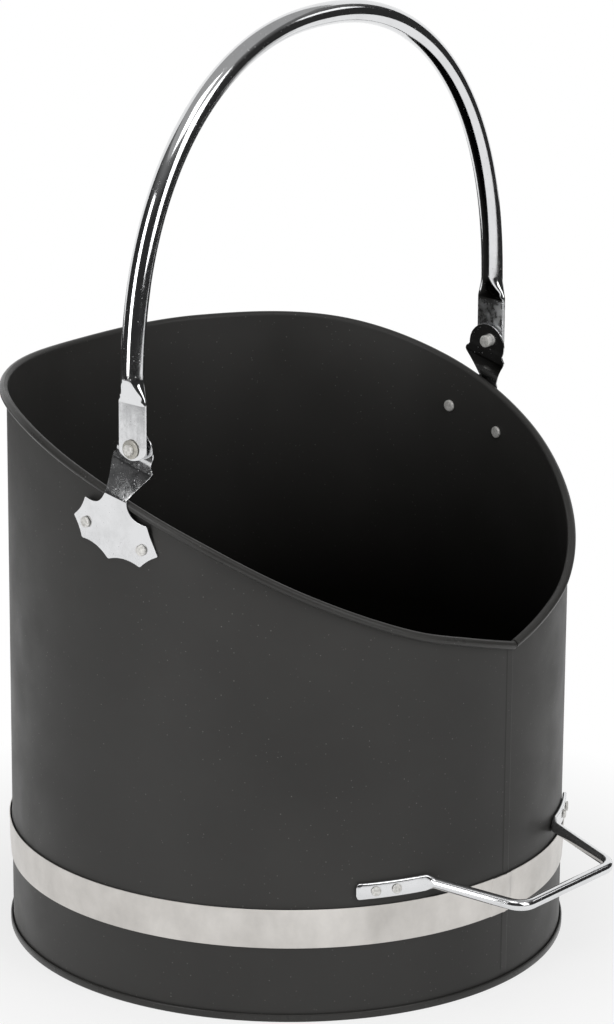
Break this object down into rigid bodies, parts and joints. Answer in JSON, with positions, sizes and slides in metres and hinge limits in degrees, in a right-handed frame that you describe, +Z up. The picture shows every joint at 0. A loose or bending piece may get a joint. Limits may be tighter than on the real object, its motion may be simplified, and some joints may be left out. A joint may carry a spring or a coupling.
{
  "type": "coal scuttle",
  "caption": "Round steel coal scuttle with a slanted rolled mouth, a bright band, a swinging arched bail on riveted ears and a fixed tip handle low at the lip side.",
  "frame": {"origin": "centre of the base pan's underside, on the floor and on the axis of the drum", "axes": "+Z up along the drum; -Y towards the pouring lip, the body seam and the tip handle; X along the axis of the bail's pivots"},
  "size_m": [0.31, 0.3477, 0.5078],
  "materials": {
    "black_coat": "satin black powder coat",
    "satin_band": "satin bright steel strip",
    "chrome_ears": "plated, stamped sheet",
    "chrome_rod": "polished plating",
    "rivet_metal": "bright rivets"
  },
  "bodies": {
    "scuttle": {"body_shell": "black_coat", "base_pan": "black_coat", "chrome_band": "satin_band", "ear_left": "chrome_ears", "ear_right": "chrome_ears", "ear_rivet_left_front": "rivet_metal", "ear_rivet_left_rear": "rivet_metal", "ear_rivet_right_front": "rivet_metal", "ear_rivet_right_rear": "rivet_metal", "bail_washer_left": "rivet_metal", "bail_pivot_rivet_left": "rivet_metal", "bail_washer_right": "rivet_metal", "bail_pivot_rivet_right": "rivet_metal", "tip_handle": "chrome_rod", "tip_rivet_left_inner": "rivet_metal", "tip_rivet_left_outer": "rivet_metal", "tip_rivet_right_inner": "rivet_metal", "tip_rivet_right_outer": "rivet_metal"},
    "bail": {"bail_handle": "chrome_rod"}
  },
  "joints": [
    {"name": "bail_hinge", "type": "hinge", "parent": "scuttle", "child": "bail", "pos_m": [0, -0.02139, 0.30095], "axis": [1, 0, 0], "range_deg": [-86, 115]}
  ]
}
